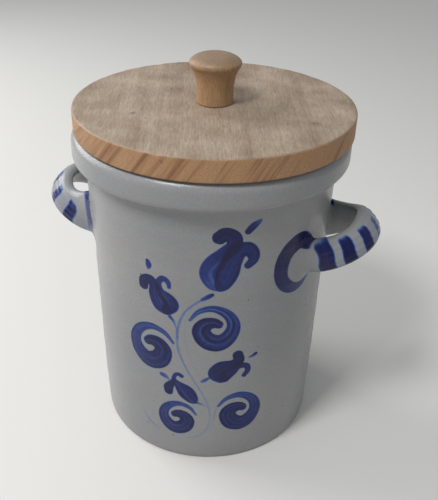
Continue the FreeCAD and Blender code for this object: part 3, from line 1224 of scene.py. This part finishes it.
@dataclass
class WoodenLid:
    """A flat beech board turned round, resting loose on the rim."""

    radius: float = 131.9
    thickness: float = 21.5
    edge_round: float = 1.6
    centre: Point = (1.9, 1.1)
    grain_azimuth: float = -66.0
    columns: int = 360
    knots: tuple[tuple[float, float, float], ...] = ((-52.5, -57.5, 1.7), (103.0, -12.5, 2.4))
    nicks: tuple[tuple[float, float, float], ...] = (   # azimuth, width in degrees and depth
        (-107.0, 1.2, 0.9), (-88.0, 0.8, 0.7), (-64.0, 0.9, 0.6), (-30.0, 1.1, 0.7),
        (140.0, 1.3, 0.8),
    )
    arris_wear: float = 0.5             # deepest wear of the upper edge
    crack_azimuth: float = -84.4        # of its lower end
    crack_lean: float = 2.0             # degrees that it runs back on its way up
    crack_heights: Point = (9.5, 18.0)
    crease: float = 40.0

    def outline(self, bottom: float) -> list[Point]:
        """Return the board's section from its underside's middle to its top's middle."""
        top = bottom + self.thickness
        inner = self.radius - self.edge_round
        points = [(0.0, bottom)]
        points += [(radius, bottom) for radius in np.linspace(12, inner - 2, 9)]
        points += arc((inner, bottom + self.edge_round), self.edge_round, -90, 0, 4)
        points += [(self.radius, height) for height in np.linspace(bottom + 3.4, top - 3.4, 7)]
        points += arc((inner, top - self.edge_round), self.edge_round, 0, 90, 4)
        points += [(radius, top) for radius in np.linspace(inner - 2, 12, 30)]
        points += [(0.0, top)]
        return [(radius * MM, height * MM) for radius, height in points]

    def lay_marks_and_shade(self, places: np.ndarray, bottom: float) -> np.ndarray:
        """Return how dark each place is from pin knots, the crack, and painted shade on the
        underside and the foot of the edge.

        Args:
            places: rows in millimetres.
            bottom: height of the board's underside.

        Returns:
            0 where it is clean, to 1.
        """
        marks_and_shade = np.zeros(len(places))
        for x, y, size in self.knots:
            away = np.hypot(places[:, 0] - x, 0.7 * (places[:, 1] - y))
            marks_and_shade = np.maximum(marks_and_shade, 0.8 * np.clip(1.5 - away / size, 0, 1))
            marks_and_shade = np.maximum(marks_and_shade, 0.25 * np.clip(1.3 - away / (2.6 * size), 0, 1))
        offset = places[:, :2] - self.centre
        azimuth = np.degrees(np.arctan2(offset[:, 1], offset[:, 0]))
        height = places[:, 2] - bottom
        low, high = self.crack_heights
        run = np.clip((height - low - 1.0) / 6.0, 0, 1)
        off = np.abs(azimuth - (self.crack_azimuth - self.crack_lean * run)) * 2.3
        on_edge = (height > low) & (height < high)
        marks_and_shade = np.maximum(marks_and_shade, 0.7 * np.clip(1.3 - off / 0.5, 0, 1) * on_edge)
        # painted shade: darkens the underside and the lowest 1.6 mm of the edge, where the board
        # rests on the rim
        return np.maximum(marks_and_shade, 0.55 * np.clip(1 - height / 1.6, 0, 1))

    def wear_edge(self, places: np.ndarray, top: float) -> None:
        """Wear and nick the board's upper edge.

        Args:
            places: rows in millimetres about the board's own axis, moved in place.
            top: height of the board's top.
        """
        radius = np.hypot(places[:, 0], places[:, 1])
        azimuth = np.arctan2(places[:, 1], places[:, 0])
        near_arris = np.clip(1 - np.abs(radius - self.radius + 0.8) / 2.5, 0, 1)
        near_arris = near_arris * (places[:, 2] > top - 3.5)
        waves = np.sin(azimuth * 7 + 0.5) + np.sin(azimuth * 17 + 2.0) + np.sin(azimuth * 41)
        places[:, 2] -= near_arris * np.clip(0.22 * waves + 0.25, 0, 1) * self.arris_wear
        for middle, width, depth in self.nicks:
            gap = (np.degrees(azimuth) - middle + 180) % 360 - 180
            cut = np.exp(-(gap / width) ** 2) * near_arris * depth
            places[:, 2] -= cut
            places[:, :2] *= (1 - cut * 0.5 / np.maximum(radius, 1))[:, None]

    def make(self) -> bpy.types.Object:
        """Build and dress the board.

        Returns:
            The finished piece.
        """
        low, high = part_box("lid")
        bottom, top = low[2] / MM, high[2] / MM
        lid = turned_piece("wooden_lid", self.outline(bottom), [(self.columns, 360)])
        places = read_places(lid) / MM
        self.wear_edge(places, top)
        places[:, :2] += self.centre
        write_places(lid, places * MM)
        store_attribute(lid, "weathered", np.clip((places[:, 2] - top + 1.4) / 1.2, 0, 1))
        # pin knots, the crack, and painted shade under the board
        store_attribute(lid, "marks_and_shade", self.lay_marks_and_shade(places, bottom))
        beech = Beech(
            "weathered_beech", ("#a57e5a", "#7d5536"), ("#7e6b58", "#a39280"), self.grain_azimuth
        )
        finish_piece(lid, beech.build(), self.crease, "lid")
        return lid


@dataclass
class TurnedKnob:
    """A beech knob with a flared grip and a domed crown."""

    base_radius: float = 17.1
    flare: float = 7.4
    flare_power: float = 3.7
    side_height: float = 36.3
    dome_height: float = 10.0
    base_round: float = 1.2
    columns: int = 96
    crease: float = 45.0
    centre: Point = (1.9, 1.1)

    def outline(self, bottom: float) -> list[Point]:
        """Return the knob's section from its base's middle to its crown."""
        share = np.linspace(0.04, 0.97, 34)
        angles = np.radians(np.linspace(12, 90, 22))
        rim, eaves = self.base_radius + self.flare, bottom + self.side_height
        foot = (self.base_radius - self.base_round, bottom + self.base_round)
        sides = self.base_radius + self.flare * share ** self.flare_power
        points = [(0.0, bottom), (10.0, bottom), *arc(foot, self.base_round, -90, 0, 3)]
        points += zip(sides, bottom + self.side_height * share)
        points += [(rim - 0.35, eaves + 0.4)]
        points += list(zip(rim * np.cos(angles), eaves + self.dome_height * np.sin(angles)))[:-1]
        points += [(0.0, eaves + self.dome_height)]
        return [(radius * MM, height * MM) for radius, height in points]

    def make(self) -> bpy.types.Object:
        """Build and dress the knob.

        Returns:
            The finished piece.
        """
        low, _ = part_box("knob")
        knob = turned_piece("turned_knob", self.outline(low[2] / MM), [(self.columns, 360)])
        places = read_places(knob)
        places[:, :2] += np.array(self.centre) * MM
        write_places(knob, places)
        height = (places[:, 2] - low[2]) / MM
        store_attribute(knob, "weathered", np.clip((height - self.side_height) / 6, 0, 1) * 0.75)
        # painted shade: darkens the knob's lowest 0.9 mm, where it meets the lid
        store_attribute(knob, "marks_and_shade", np.clip(1 - height / 0.9, 0, 1) * 0.8)
        beech = Beech(
            "turned_beech", ("#a07d5a", "#7c5c40"), ("#705f4d", "#8d7c68"), 0.0, upright=True,
            lean=18.0, band=9.0, ring=1.8, ring_depth=0.3, roughness=0.5,
        )
        finish_piece(knob, beech.build(), self.crease, "knob")
        return knob


# --------------------------------------------------------------------- studio
@dataclass
class Studio:
    """The plain floor, the soft lamps and the camera."""

    camera_place: tuple[float, float, float] = (243.8, -591.5, 571.2)
    camera_aim: tuple[float, float, float] = (-0.31450, 0.79703, -0.51560)
    camera_roll: float = 1.51
    lens: float = 51.3
    sensor: float = 36.0
    floor_size: float = 12.0        # metres
    floor_colour: str = "#d8d6d2"
    world_colour: str = "#dfe3e6"
    world_level: float = 0.55
    lamp_aim: tuple[float, float, float] = (0.0, 0.0, 0.2)
    lamps: tuple[tuple[str, tuple[float, float, float], float, float], ...] = (
        ("skylight", (-0.32, -0.95, 1.70), 0.42, 19),
        ("window", (-1.70, 0.15, 1.10), 1.3, 24),
    )

    def build_floor(self) -> None:
        """Lay the plain pale floor."""
        material, tree = start_material("pale_floor")
        finish_material(tree, add_node(tree, "ShaderNodeBsdfPrincipled", {
            "Base Color": linear(self.floor_colour), "Roughness": 0.7, "Specular IOR Level": 0.2,
        }))
        deselect_all()
        bpy.ops.mesh.primitive_plane_add(size=self.floor_size, location=(0, 0, 0))
        floor = bpy.context.active_object
        floor.name = "studio_floor"
        floor.data.materials.append(material)

    def add_lamp(
        self, name: str, place: tuple[float, float, float], size: float, watts: float
    ) -> None:
        """Hang one square soft lamp.

        Args:
            name: what it is called.
            place: where it hangs, in metres.
            size: length of its side.
            watts: its power.
        """
        lamp = bpy.data.lights.new(name, "AREA")
        lamp.shape = "SQUARE"
        lamp.size = size
        lamp.energy = watts
        way = Vector(self.lamp_aim) - Vector(place)
        self.place_holder(name, lamp, place, way.to_track_quat("-Z", "Y"))

    def place_holder(
        self, name: str, data: bpy.types.ID, place: tuple[float, float, float], turn: Quaternion
    ) -> bpy.types.Object:
        """Put a lamp or camera in the scene.

        Args:
            name: what the object is called.
            data: the lamp or camera.
            place: where it goes, in metres.
            turn: which way it faces.

        Returns:
            The object that holds it.
        """
        holder = bpy.data.objects.new(name, data)
        bpy.context.collection.objects.link(holder)
        holder.location = place
        holder.rotation_mode = "QUATERNION"
        holder.rotation_quaternion = turn
        return holder

    def build_lamps(self) -> None:
        """Hang the lamps and set the world's even light."""
        for lamp in self.lamps:
            self.add_lamp(*lamp)
        world = bpy.data.worlds.new("studio_world")
        bpy.context.scene.world = world
        world.use_nodes = True
        background = world.node_tree.nodes["Background"]
        background.inputs["Color"].default_value = linear(self.world_colour)
        background.inputs["Strength"].default_value = self.world_level

    def build_camera(self) -> None:
        """Set the camera at its viewing angle."""
        data = bpy.data.cameras.new("camera")
        data.lens = self.lens
        data.sensor_width = self.sensor
        level = Vector(self.camera_aim).to_track_quat("-Z", "Y")
        roll = Quaternion((0, 0, 1), math.radians(self.camera_roll))
        place = Vector(self.camera_place) * MM
        bpy.context.scene.camera = self.place_holder("camera", data, place, level @ roll)

    def make(self) -> None:
        """Set up everything that isn't part of the object."""
        self.build_floor()
        self.build_lamps()
        self.build_camera()
        bpy.context.scene.view_settings.view_transform = "Standard"


def main() -> None:
    """Build the pot, its lid and knob, and the studio round them."""
    logging.basicConfig(level=logging.INFO, format="%(name)s: %(message)s")
    Studio().make()
    StonewarePot().make()
    WoodenLid().make()
    TurnedKnob().make()


if __name__ == "__main__":
    main()
